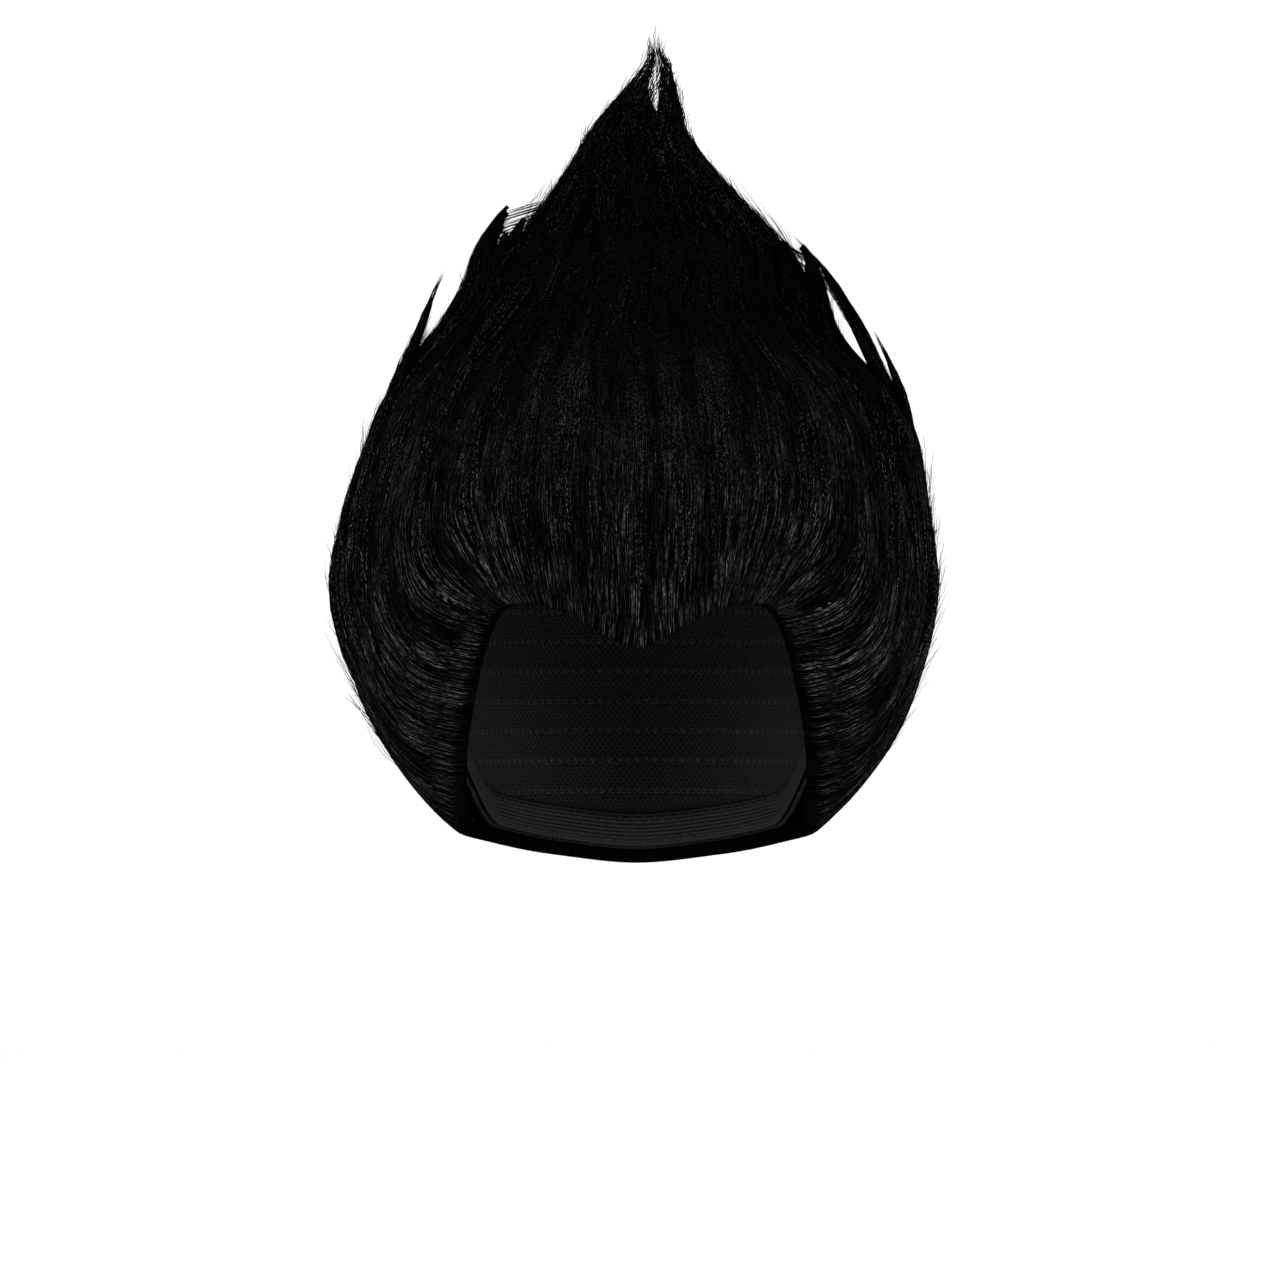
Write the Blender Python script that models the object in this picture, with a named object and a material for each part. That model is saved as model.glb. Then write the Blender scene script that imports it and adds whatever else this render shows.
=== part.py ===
"""A troll wig: hair swept up from a pointed hairline into one tall tip, sewn to a stretch cap.

Metres, +Z up. The origin is the inside of the cap's crown, where the top of the head meets it.
The front of the wig looks along -Y, and +X is the side on a viewer's right.
Every round section is an oval, read at an angle that starts at the front and turns to +X.
"""

import math
from collections import namedtuple

import bmesh
import bpy
from mathutils import Vector

# The head that the cap fits.
HEAD_WIDTH = 0.154
HEAD_LENGTH = 0.196
HEAD_DOME = 0.095  # from the crown down to the head's widest level

# The hair, from the crown and from the head's side, front and back.
HAIR_RISE = 0.161  # crown to the tip
HAIR_DROP = 0.158  # crown to the lowest hair beside the ears
SIDE_HAIR = 0.047  # how far the puffed sides stand out from the head
FRONT_HAIR = 0.015
BACK_HAIR = 0.043
TIP_LEAN = 0.0080  # the tip leans to +X
TIP_SET_BACK = 0.010  # and stands behind the middle of the head
EDGE_HAIR = 0.0035  # thickness of the hair at the hairline
GROOVE = 0.0045  # depth of the furrows between locks
LOCK_END = 0.0012  # thickness of a lock where it ends
NOTCH = 0.024  # how far the furrow between two locks ends below their tips
FURROW_STAND = 0.15  # how far its end stands off the hair behind, a share of the thickness there

# The cap and its band.
CAP_WALL = 0.0016
CAP_INSET = 0.0040  # the cap's edge stays this far behind the hairline
BAND_WIDTH = 0.014
BAND_THICKNESS = 0.0012

# Clearances between pieces.
GAP = 0.0004
LOFT_SLACK = 0.0028  # more room where the straight facets of a dome could touch

# How finely the shapes are divided.
CAP_COLUMNS = 48
CAP_ROWS = 10
LOCK_COLUMNS = 4
HAIR_ROWS = 12
CROWN_LOCKS = 11
CROWN_ROWS = 12
TUFT_SIDES = 6
TUFT_ROWS = 5

# Worked out from the sizes above.
HEAD_HALF = Vector((HEAD_WIDTH / 2, HEAD_LENGTH / 2))
HAIR_HALF = HEAD_HALF + Vector((SIDE_HAIR, (FRONT_HAIR + BACK_HAIR) / 2))
HAIR_SET_BACK = (BACK_HAIR - FRONT_HAIR) / 2
CROWN_BASE = CAP_WALL + GAP

# How much the head narrows below its widest level, at the level of HAIR_DROP.
SIDE_TUCK = 0.10
NAPE_TUCK = 0.12

# Shares of a panel's height: the furrows deepen up to FURROW_FULL, the lock thins from THIN_FROM, and
# its tip leaves the hair behind it from FREE_FROM.
FURROW_FULL = 0.22
THIN_FROM = 0.70
FREE_FROM = 0.80
FURROW_MOST = 0.40  # a furrow is never deeper than this share of the panel's thickness

# Shares that shape the ridge of a lock, the pointed end between two notches, and a tuft.
RIDGE_FULLNESS = 0.7
TIP_SHARPNESS = 1.6
THINNING = 1.5
TUFT_SINK = 0.42  # a tuft's root lies this share of its width inside
TUFT_RISE = 0.8
TUFT_FLATNESS = 0.36  # thickness over width
CROWN_FURROW = 0.7  # depth of the crown's furrows over GROOVE
CROWN_FURROW_MOST = 0.16  # and never more than this share of its half width

# The clearance of a panel grows from SEAT_SHARE of LOFT_SLACK, low on the head, to all of it, between two
# heights that are shares of HEAD_DOME.
SEAT_SHARE = 0.18
SLACK_LOW = -0.80
SLACK_HIGH = -0.30

CAP_ROW_GROWTH = 1.25  # the cap's rows lie closer together towards the crown
CAP_POLE = 0.005  # and the first one, this share of the way down, closes it
SHARP_EDGE = math.radians(50)

# The hair's outer sections, bottom to top. level is a share of HAIR_RISE above the crown and of HAIR_DROP
# below it, width and depth are shares of the widest half sizes, lean is a share of TIP_LEAN and
# back a share of HAIR_SET_BACK.
Section = namedtuple("Section", "level width depth lean back")
OUTER = (
    Section(-0.42, 1.000, 1.000, 0.00, 1.00),
    Section(-0.25, 0.980, 0.990, 0.00, 0.90),
    Section(-0.11, 0.941, 0.955, 0.20, 0.75),
    Section(0.00, 0.908, 0.912, 0.30, 0.72),
    Section(0.10, 0.866, 0.855, 0.35, 0.75),
    Section(0.25, 0.762, 0.730, 0.25, 0.80),
    Section(0.40, 0.645, 0.605, 0.10, 0.75),
    Section(0.50, 0.548, 0.515, -0.20, 0.70),
    Section(0.56, 0.468, 0.445, -0.20, 0.70),
    Section(0.64, 0.380, 0.370, 0.00, 0.70),
)

# The same for the hair that stands on the crown. Here back is a share of TIP_SET_BACK.
CROWN = (
    Section(0.00, 0.400, 0.440, 0.00, 0.60),
    Section(0.15, 0.480, 0.480, 0.10, 0.70),
    Section(0.30, 0.510, 0.490, 0.30, 0.80),
    Section(0.45, 0.480, 0.455, 0.65, 0.90),
    Section(0.50, 0.443, 0.420, 0.65, 0.95),
    Section(0.56, 0.385, 0.370, 0.50, 1.00),
    Section(0.62, 0.320, 0.310, 0.35, 1.00),
    Section(0.70, 0.235, 0.235, 0.15, 1.00),
    Section(0.77, 0.172, 0.172, 0.05, 1.00),
    Section(0.84, 0.122, 0.122, 0.40, 1.00),
    Section(0.91, 0.072, 0.072, 0.85, 1.00),
    Section(0.96, 0.036, 0.036, 1.05, 1.00),
    Section(1.00, 0.010, 0.010, 0.95, 1.00),
)

# The hairline from the front round to the nape, the same on both sides. angle is in degrees, level a
# share of HAIR_DROP, and swell the height over which the hair swells out to full size, a share of
# HAIR_DROP too.
Edge = namedtuple("Edge", "angle level swell")
HAIRLINE = (
    Edge(0.0, -0.537, 0.36),
    Edge(7.1, -0.503, 0.34),
    Edge(12.7, -0.468, 0.32),
    Edge(19.3, -0.437, 0.30),
    Edge(26.2, -0.424, 0.30),
    Edge(33.4, -0.426, 0.30),
    Edge(39.0, -0.440, 0.30),
    Edge(43.0, -0.475, 0.31),
    Edge(47.3, -0.550, 0.33),
    Edge(51.5, -0.635, 0.37),
    Edge(57.0, -0.720, 0.42),
    Edge(62.8, -0.795, 0.48),
    Edge(70.0, -0.880, 0.57),
    Edge(77.4, -0.955, 0.62),
    Edge(87.0, -1.000, 0.67),
    Edge(102.0, -1.020, 0.68),
    Edge(126.0, -1.045, 0.67),
    Edge(155.0, -1.085, 0.65),
    Edge(180.0, -1.108, 0.68),
)

# Over the ears the cap's edge lies higher than the hair that covers them. rise is a share of HAIR_DROP.
EarRise = namedtuple("EarRise", "angle rise")
EAR = (
    EarRise(0.0, 0.00),
    EarRise(56.0, 0.00),
    EarRise(72.0, 0.13),
    EarRise(91.0, 0.24),
    EarRise(109.0, 0.12),
    EarRise(128.0, 0.00),
    EarRise(180.0, 0.00),
)

# Each panel's first angle and its locks, in turn. width is a share of the panel, tip is the level where
# the lock ends, a share of HAIR_RISE, swell lifts its ridge, a share of GROOVE, and stand is how far the
# tip stands off the hair behind it, a share of the panel's thickness there.
Lock = namedtuple("Lock", "width tip swell stand")
PANELS = {
    "front_hair": (
        -42.0,
        (
            Lock(0.13, 0.56, 0.2, 0.30),
            Lock(0.11, 0.52, 0.6, 0.15),
            Lock(0.12, 0.59, 0.3, 0.20),
            Lock(0.15, 0.56, 0.0, 0.10),
            Lock(0.13, 0.61, 0.4, 0.20),
            Lock(0.11, 0.55, 0.1, 0.10),
            Lock(0.12, 0.57, 0.5, 0.20),
            Lock(0.13, 0.51, 0.2, 0.30),
        ),
    ),
    "right_hair": (
        42.0,
        (
            Lock(0.13, 0.46, 0.6, 0.40),
            Lock(0.14, 0.52, 0.0, 0.55),
            Lock(0.16, 0.49, 0.5, 0.65),
            Lock(0.14, 0.51, 0.2, 0.55),
            Lock(0.13, 0.45, 0.7, 0.60),
            Lock(0.15, 0.53, 0.1, 0.50),
            Lock(0.15, 0.48, 0.4, 0.40),
        ),
    ),
    "back_hair": (
        138.0,
        (
            Lock(0.13, 0.53, 0.2, 0.35),
            Lock(0.16, 0.59, 0.5, 0.50),
            Lock(0.13, 0.54, 0.0, 0.30),
            Lock(0.15, 0.61, 0.4, 0.45),
            Lock(0.15, 0.56, 0.1, 0.35),
            Lock(0.13, 0.60, 0.6, 0.50),
            Lock(0.15, 0.54, 0.2, 0.35),
        ),
    ),
    "left_hair": (
        222.0,
        (
            Lock(0.15, 0.54, 0.3, 0.40),
            Lock(0.13, 0.59, 0.6, 0.50),
            Lock(0.16, 0.55, 0.1, 0.55),
            Lock(0.14, 0.62, 0.5, 0.70),
            Lock(0.14, 0.59, 0.0, 0.60),
            Lock(0.13, 0.51, 0.6, 0.50),
            Lock(0.15, 0.56, 0.2, 0.35),
        ),
    ),
}

# Shorter locks that lie on a panel or on the crown and end in a free tip. angle is in degrees, root and
# tip are levels, and width and lift are lengths: lift is how far the tip stands out.
Tuft = namedtuple("Tuft", "node angle root tip width lift")
TUFTS = (
    Tuft("left_hair", 272.0, -0.10, 0.395, 0.026, 0.0015),
    Tuft("left_hair", 281.0, -0.30, 0.225, 0.028, 0.0020),
    Tuft("left_hair", 266.0, -0.62, -0.16, 0.032, 0.0010),
    Tuft("left_hair", 248.0, -0.20, 0.300, 0.028, 0.0030),
    Tuft("right_hair", 87.0, -0.25, 0.240, 0.027, 0.0030),
    Tuft("right_hair", 97.0, -0.05, 0.485, 0.024, 0.0010),
    Tuft("right_hair", 70.0, -0.40, 0.120, 0.026, 0.0020),
    Tuft("right_hair", 114.0, -0.40, 0.180, 0.030, 0.0030),
    Tuft("back_hair", 160.0, -0.20, 0.340, 0.028, 0.0030),
    Tuft("back_hair", 186.0, -0.40, 0.240, 0.032, 0.0030),
    Tuft("back_hair", 204.0, -0.10, 0.420, 0.026, 0.0030),
    Tuft("crown_hair", 82.0, 0.62, 0.935, 0.010, 0.0034),
    Tuft("crown_hair", 147.0, 0.60, 0.870, 0.012, 0.0030),
    Tuft("crown_hair", 245.0, 0.60, 0.830, 0.013, 0.0022),
    Tuft("crown_hair", 16.0, 0.56, 0.800, 0.014, 0.0015),
)

BLACK_FIBRE = (0.012, 0.012, 0.013, 1.0)
CAP_NET = (0.020, 0.019, 0.019, 1.0)
BAND_BLACK = (0.030, 0.029, 0.029, 1.0)


def lerp(a, b, share):
    return a + (b - a) * share


def smoothstep(share):
    share = min(max(share, 0.0), 1.0)
    return share * share * (3 - 2 * share)


def read(table, column, at):
    """A smooth value of a column, where the table's first column is at."""
    keys = [row[0] for row in table]
    values = [getattr(row, column) for row in table]
    if at <= keys[0]:
        return values[0]
    if at >= keys[-1]:
        return values[-1]
    i = max(k for k, key in enumerate(keys) if key <= at)

    def slope(k):
        if k in (0, len(keys) - 1):
            return 0.0
        before = (values[k] - values[k - 1]) / (keys[k] - keys[k - 1])
        after = (values[k + 1] - values[k]) / (keys[k + 1] - keys[k])
        if before * after <= 0:
            return 0.0
        return 2 * before * after / (before + after)

    step = keys[i + 1] - keys[i]
    s = (at - keys[i]) / step
    rise = values[i] * (1 - s) ** 2 * (1 + 2 * s) + values[i + 1] * s**2 * (3 - 2 * s)
    return rise + step * (slope(i) * s * (1 - s) ** 2 - slope(i + 1) * s**2 * (1 - s))


def level_of(z):
    return z / HAIR_RISE if z > 0 else z / HAIR_DROP


def height_of(level):
    return level * (HAIR_RISE if level > 0 else HAIR_DROP)


def folded(angle):
    """The angle in degrees from the front, 0 to 180, on either side."""
    angle = angle % 360.0
    return min(angle, 360.0 - angle)


def direction(angle):
    turn = math.radians(angle)
    return Vector((math.sin(turn), -math.cos(turn), 0.0))


def across(angle):
    """The level direction along the oval at an angle, towards growing angles."""
    turn = math.radians(angle)
    return Vector((math.cos(turn), math.sin(turn), 0.0))


def on_oval(half, centre, angle, z):
    """Where the level ray from the vertical axis at this angle meets an oval round the axis."""
    way = direction(angle)
    near = (way.x / half[0]) ** 2 + (way.y / half[1]) ** 2
    shift = way.x * centre[0] / half[0] ** 2 + way.y * centre[1] / half[1] ** 2
    rest = (centre[0] / half[0]) ** 2 + (centre[1] / half[1]) ** 2 - 1
    far = (shift + math.sqrt(max(0.0, shift**2 - near * rest))) / near
    return Vector((far * way.x, far * way.y, z))


def head_half(z, grow):
    """Half sizes of the head, grown by a wall, at a height."""
    dome = HEAD_DOME + grow
    rise = z + HEAD_DOME
    if rise > 0:
        share = math.sqrt(max(0.0, 1 - (rise / dome) ** 2))
        tuck = Vector((share, share))
    else:
        depth = (rise / (HAIR_DROP - HEAD_DOME)) ** 2 if HAIR_DROP > HEAD_DOME else 0.0
        tuck = Vector((1 - SIDE_TUCK * depth, 1 - NAPE_TUCK * depth))
    return Vector(((HEAD_HALF.x + grow) * tuck.x, (HEAD_HALF.y + grow) * tuck.y))


def hairline(angle):
    return height_of(read(HAIRLINE, "level", folded(angle)))


def cap_edge(angle):
    return hairline(angle) + CAP_INSET + HAIR_DROP * read(EAR, "rise", folded(angle))


def section(table, z, set_back):
    """Half sizes and centre of the hair at a height."""
    level = level_of(z)
    half = Vector((HAIR_HALF.x * read(table, "width", level), HAIR_HALF.y * read(table, "depth", level)))
    centre = (TIP_LEAN * read(table, "lean", level), set_back * read(table, "back", level))
    return half, centre


def crown_point(angle, z, grow=0.0):
    """A point on the crown's hair before its furrows, grown by a clearance."""
    half, centre = section(CROWN, max(z, CROWN_BASE), TIP_SET_BACK)
    half = half + Vector((grow, grow))
    return on_oval(half, centre, angle, z)


def backing(angle, z):
    """The inner face of a panel: on the cap, and above it on the crown's hair."""
    share = smoothstep((z / HEAD_DOME - SLACK_LOW) / (SLACK_HIGH - SLACK_LOW))
    slack = GAP + LOFT_SLACK * lerp(SEAT_SHARE, 1.0, share)
    crown = crown_point(angle, z, slack)
    if z >= CROWN_BASE:
        return crown
    cap = on_oval(head_half(z, CAP_WALL + slack), (0.0, 0.0), angle, z)
    way = direction(angle)
    return cap if cap.dot(way) > crown.dot(way) else crown


def outer(angle, z):
    """The outer face of the hair without furrows."""
    low = hairline(angle)
    swell = HAIR_DROP * read(HAIRLINE, "swell", folded(angle))
    share = min(max((z - low) / swell, 0.0), 1.0)
    swollen = 1 - (1 - share) ** 2
    full = on_oval(*section(OUTER, z, HAIR_SET_BACK), angle, z)
    if swollen == 1.0:
        return full
    edge = on_oval(head_half(z, CAP_WALL + GAP + EDGE_HAIR), (0.0, 0.0), angle, z)
    return edge.lerp(full, swollen)


def lock_columns(first, span, locks, beside):
    """For each column of a panel: its angle, where its lock ends, its furrow's share and its stand."""
    total = sum(lock.width for lock in locks)
    columns = []
    angle = first
    before = beside[0]
    for number, lock in enumerate(locks):
        wide = span * lock.width / total
        following = locks[number + 1].tip if number + 1 < len(locks) else beside[1]
        for step in range(LOCK_COLUMNS):
            share = step / LOCK_COLUMNS
            notch = min(lock.tip, before if share < 0.5 else following) * HAIR_RISE - NOTCH
            ridge = math.sin(math.pi * share)
            top = lerp(notch, lock.tip * HAIR_RISE, ridge**TIP_SHARPNESS)
            furrow = 1 - ridge**RIDGE_FULLNESS * (1 + lock.swell / 2)
            stand = lerp(FURROW_STAND, lock.stand, ridge)
            columns.append((angle + wide * share, top, furrow, stand))
        angle += wide
        before = lock.tip
    last = min(locks[-1].tip, beside[1]) * HAIR_RISE - NOTCH
    columns.append((first + span, last, 1.0, FURROW_STAND))
    return columns


def panel_pair(angle, top, furrow, stand, share):
    """The inner and outer point of a panel's column at a share of its height."""
    low = hairline(angle)
    z = lerp(low, top, share)
    inner = backing(angle, z)
    full = outer(angle, z)
    free = smoothstep((share - FREE_FROM) / (1 - FREE_FROM))
    inner = inner.lerp(full, stand * free)
    way = direction(angle)
    depth = GROOVE * furrow * smoothstep(share / FURROW_FULL) * (1 - free)
    room = (full - inner).dot(way)
    full = full - way * min(depth, FURROW_MOST * room)
    taper = 1 - smoothstep((share - THIN_FROM) / (1 - THIN_FROM)) ** THINNING
    full = inner.lerp(full, taper)
    full += way * LOCK_END * (1 - taper)
    return inner, full


def new_object(name, bm, material=None):
    """An object of its own from a closed bmesh."""
    bmesh.ops.recalc_face_normals(bm, faces=bm.faces)
    mesh = bpy.data.meshes.new(name)
    bm.to_mesh(mesh)
    bm.free()
    mesh.shade_smooth()
    mesh.set_sharp_from_angle(angle=SHARP_EDGE)
    item = bpy.data.objects.new(name, mesh)
    bpy.context.scene.collection.objects.link(item)
    if material:
        mesh.materials.append(material)
    return item


def loft(rings):
    """A closed solid through rings of points, and its two end faces."""
    bm = bmesh.new()
    loops = [[bm.verts.new(point) for point in ring] for ring in rings]
    for low, high in zip(loops, loops[1:]):
        for i in range(len(low)):
            bm.faces.new((low[i - 1], low[i], high[i], high[i - 1]))
    return bm, bm.faces.new(loops[0]), bm.faces.new(loops[-1])


def cut_across(face):
    """Splits the long end face of a panel into short ones, each from the outer side to the inner one."""
    corners = list(face.verts)
    end = corners[len(corners) // 2 - 1]
    for i in range(1, len(corners) // 2 - 1):
        split, _ = bmesh.utils.face_split(face, corners[i], corners[-1 - i])
        face = face if end in face.verts else split


def make_panel(name, material):
    """A panel of locks: its rings run along the outer face and back along the inner one."""
    first, locks = PANELS[name]
    names = list(PANELS)
    place = names.index(name)
    following = PANELS[names[(place + 1) % len(names)]]
    before = PANELS[names[place - 1]]
    span = (following[0] - first) % 360.0
    columns = lock_columns(first, span, locks, (before[1][-1].tip, following[1][0].tip))
    rings = []
    for row in range(HAIR_ROWS + 1):
        share = row / HAIR_ROWS
        pairs = [panel_pair(*column, share) for column in columns]
        for end, sign in ((0, 1), (-1, -1)):
            shift = across(columns[end][0]) * sign * GAP / 2
            pairs[end] = tuple(point + shift for point in pairs[end])
        inner = [pair[0] for pair in pairs]
        rings.append([pair[1] for pair in pairs] + inner[::-1])
    bm, low, high = loft(rings)
    cut_across(low)
    cut_across(high)
    return new_object(name, bm, material)


def make_crown(material):
    """The hair that stands on the crown, furrowed into locks that meet at the tip."""
    count = CROWN_LOCKS * LOCK_COLUMNS
    rings = []
    for row in range(CROWN_ROWS + 1):
        z = lerp(CROWN_BASE, HAIR_RISE, row / CROWN_ROWS)
        half, centre = section(CROWN, z, TIP_SET_BACK)
        depth = min(CROWN_FURROW * GROOVE, CROWN_FURROW_MOST * half.x)
        ring = []
        for i in range(count):
            furrow = 1 - math.sin(math.pi * (i % LOCK_COLUMNS) / LOCK_COLUMNS) ** RIDGE_FULLNESS
            reach = half - Vector((depth, depth)) * furrow
            way = direction(360.0 * i / count)
            ring.append(Vector((centre[0] + reach.x * way.x, centre[1] + reach.y * way.y, z)))
        rings.append(ring)
    return new_object("crown_hair", loft(rings)[0], material)


def tuft_spine(tuft):
    """The middle line of a tuft, from inside the hair to its free tip."""
    surface = crown_point if tuft.node == "crown_hair" else outer
    spine = []
    for row in range(TUFT_ROWS + 1):
        share = row / TUFT_ROWS
        z = lerp(height_of(tuft.root), height_of(tuft.tip), share)
        out = lerp(-TUFT_SINK * tuft.width, tuft.lift, share**TUFT_RISE)
        spine.append(surface(tuft.angle, z) + direction(tuft.angle) * out)
    return spine


def add_tuft(number, tuft, host):
    """A flat tapered lock that is fused to its panel."""
    spine = tuft_spine(tuft)
    side = across(tuft.angle)
    rings = []
    for row, centre in enumerate(spine):
        run = spine[min(row + 1, TUFT_ROWS)] - spine[max(row - 1, 0)]
        up = side.cross(run).normalized()
        wide = max(tuft.width / 2 * math.sqrt(1 - row / TUFT_ROWS), LOCK_END / 2)
        thick = max(TUFT_FLATNESS * wide, LOCK_END / 2)
        turns = [math.tau * i / TUFT_SIDES for i in range(TUFT_SIDES)]
        rings.append([centre + side * wide * math.cos(turn) + up * thick * math.sin(turn) for turn in turns])
    name = f"tuft_{number}"
    lock = new_object(name, loft(rings)[0])
    lock.hide_render = True
    lock.display_type = "WIRE"
    fuse = host.modifiers.new(name, "BOOLEAN")
    fuse.operation = "UNION"
    fuse.solver = "EXACT"
    fuse.object = lock


def cap_ring(grow, share):
    """A ring round the cap, on the head grown by a wall, at a share of the way from crown to edge."""
    ring = []
    for i in range(CAP_COLUMNS):
        angle = 360.0 * i / CAP_COLUMNS
        z = lerp(grow, cap_edge(angle), share**CAP_ROW_GROWTH)
        ring.append(on_oval(head_half(z, grow), (0.0, 0.0), angle, z))
    return ring


def make_cap(material):
    """The cap: its rings run down the outer face, round the edge and up the inner face."""
    shares = [max(row / CAP_ROWS, CAP_POLE) for row in range(CAP_ROWS + 1)]
    rings = [cap_ring(CAP_WALL, share) for share in shares]
    rings += [cap_ring(0.0, share) for share in shares[::-1]]
    return new_object("net_cap", loft(rings)[0], material)


def band_ring(rise, inward):
    """A ring inside the cap, a height above its edge and a distance in from its inner face."""
    ring = []
    for i in range(CAP_COLUMNS):
        angle = 360.0 * i / CAP_COLUMNS
        z = cap_edge(angle) + BAND_THICKNESS + rise
        ring.append(on_oval(head_half(z, -inward), (0.0, 0.0), angle, z))
    return ring


def make_band(material):
    """The elastic band: a flat strip round the inside of the cap's edge."""
    low, high = GAP + LOFT_SLACK / 8, GAP + LOFT_SLACK / 2
    rings = [band_ring(0.0, low), band_ring(0.0, low + BAND_THICKNESS)]
    rings += [band_ring(BAND_WIDTH, high + BAND_THICKNESS), band_ring(BAND_WIDTH, high)]
    bm, first, last = loft(rings)
    loops = list(first.edges) + list(last.edges)
    bmesh.ops.delete(bm, geom=[first, last], context="FACES_ONLY")
    bmesh.ops.bridge_loops(bm, edges=loops)
    return new_object("edge_band", bm, material)


def new_material(name, colour, roughness):
    material = bpy.data.materials.new(name)
    material.use_nodes = True
    shader = material.node_tree.nodes["Principled BSDF"]
    shader.inputs["Base Color"].default_value = colour
    shader.inputs["Roughness"].default_value = roughness
    shader.inputs["Metallic"].default_value = 0.0
    material.diffuse_color = colour
    return material


def clear_scene():
    for item in list(bpy.data.objects):
        bpy.data.objects.remove(item, do_unlink=True)


def main():
    clear_scene()
    make_cap(new_material("cap_net", CAP_NET, 0.8))
    make_band(new_material("band_elastic", BAND_BLACK, 0.7))
    hosts = {"crown_hair": make_crown(new_material("crown_fibre", BLACK_FIBRE, 0.45))}
    for name in PANELS:
        hosts[name] = make_panel(name, new_material(f"{name}_fibre", BLACK_FIBRE, 0.45))
    for number, tuft in enumerate(TUFTS, 1):
        add_tuft(number, tuft, hosts[tuft.node])


main()
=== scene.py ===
# %% [markdown]
# # A troll wig
#
# This wig is a black stretch cap with crimped synthetic fibre sewn to it. The fibre is combed up and
# back from a pointed hairline, puffs out over the ears and closes above the head in one tall tip.
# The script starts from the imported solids, which give every size and place, and dresses them.

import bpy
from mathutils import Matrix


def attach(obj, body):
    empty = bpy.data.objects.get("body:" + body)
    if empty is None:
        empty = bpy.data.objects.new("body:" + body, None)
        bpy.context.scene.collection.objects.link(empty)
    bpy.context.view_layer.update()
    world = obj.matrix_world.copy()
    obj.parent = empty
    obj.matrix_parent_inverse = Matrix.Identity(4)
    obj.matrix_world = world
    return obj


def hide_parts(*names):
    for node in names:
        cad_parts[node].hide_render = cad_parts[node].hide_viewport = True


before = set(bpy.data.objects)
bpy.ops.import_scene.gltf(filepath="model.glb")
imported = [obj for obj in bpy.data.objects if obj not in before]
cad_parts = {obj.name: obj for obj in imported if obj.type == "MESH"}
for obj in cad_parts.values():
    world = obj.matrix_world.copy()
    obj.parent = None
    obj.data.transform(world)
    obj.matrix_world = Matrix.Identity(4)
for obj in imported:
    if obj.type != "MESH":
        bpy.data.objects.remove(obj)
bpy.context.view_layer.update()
print("solids:", ", ".join(sorted(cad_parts)))

# %%
import math
from collections import namedtuple

import bmesh
import bpy
import numpy as np
from mathutils import Vector

# %% [markdown]
# ## The form of the hair
#
# The hair is a stack of ovals round the head. Each row of a table gives an oval: level is its height,
# as a share of the rise above the crown or of the drop below it, width and depth are shares of the
# widest oval, and lean and back move its middle. These are the tables of the solids, so what is built
# on them lies where the solids lie. A scan or a sculpted mesh would work as well, but a table can be
# corrected one height at a time against a photograph.

# %% Sizes in metres
HEAD_HALF = (0.077, 0.098)
HEAD_DOME = 0.095
HAIR_HALF = (0.124, 0.127)
HAIR_BACK = 0.014
HAIR_RISE = 0.161
HAIR_DROP = 0.158
TIP_LEAN = 0.0080
TIP_BACK = 0.010
CAP_WALL = 0.0016
CAP_INSET = 0.0040
EDGE_HAIR = 0.0035
GROOVE = 0.0045
LOCK_END = 0.0012
NOTCH = 0.024
CLEARANCE = 0.0006

Oval = namedtuple("Oval", "level width depth lean back")
OUTER = (
    Oval(-0.42, 1.000, 1.000, 0.00, 1.00),
    Oval(-0.25, 0.980, 0.990, 0.00, 0.90),
    Oval(-0.11, 0.941, 0.955, 0.20, 0.75),
    Oval(0.00, 0.908, 0.912, 0.30, 0.72),
    Oval(0.10, 0.866, 0.855, 0.35, 0.75),
    Oval(0.25, 0.762, 0.730, 0.25, 0.80),
    Oval(0.40, 0.645, 0.605, 0.10, 0.75),
    Oval(0.50, 0.548, 0.515, -0.20, 0.70),
    Oval(0.56, 0.468, 0.445, -0.20, 0.70),
    Oval(0.64, 0.380, 0.370, 0.00, 0.70),
)
CROWN = (
    Oval(0.00, 0.400, 0.440, 0.00, 0.60),
    Oval(0.15, 0.480, 0.480, 0.10, 0.70),
    Oval(0.30, 0.510, 0.490, 0.30, 0.80),
    Oval(0.45, 0.480, 0.455, 0.65, 0.90),
    Oval(0.50, 0.443, 0.420, 0.65, 0.95),
    Oval(0.56, 0.385, 0.370, 0.50, 1.00),
    Oval(0.62, 0.320, 0.310, 0.35, 1.00),
    Oval(0.70, 0.235, 0.235, 0.15, 1.00),
    Oval(0.77, 0.172, 0.172, 0.05, 1.00),
    Oval(0.84, 0.122, 0.122, 0.40, 1.00),
    Oval(0.91, 0.072, 0.072, 0.85, 1.00),
    Oval(0.96, 0.036, 0.036, 1.05, 1.00),
    Oval(1.00, 0.010, 0.010, 0.95, 1.00),
)

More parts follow.
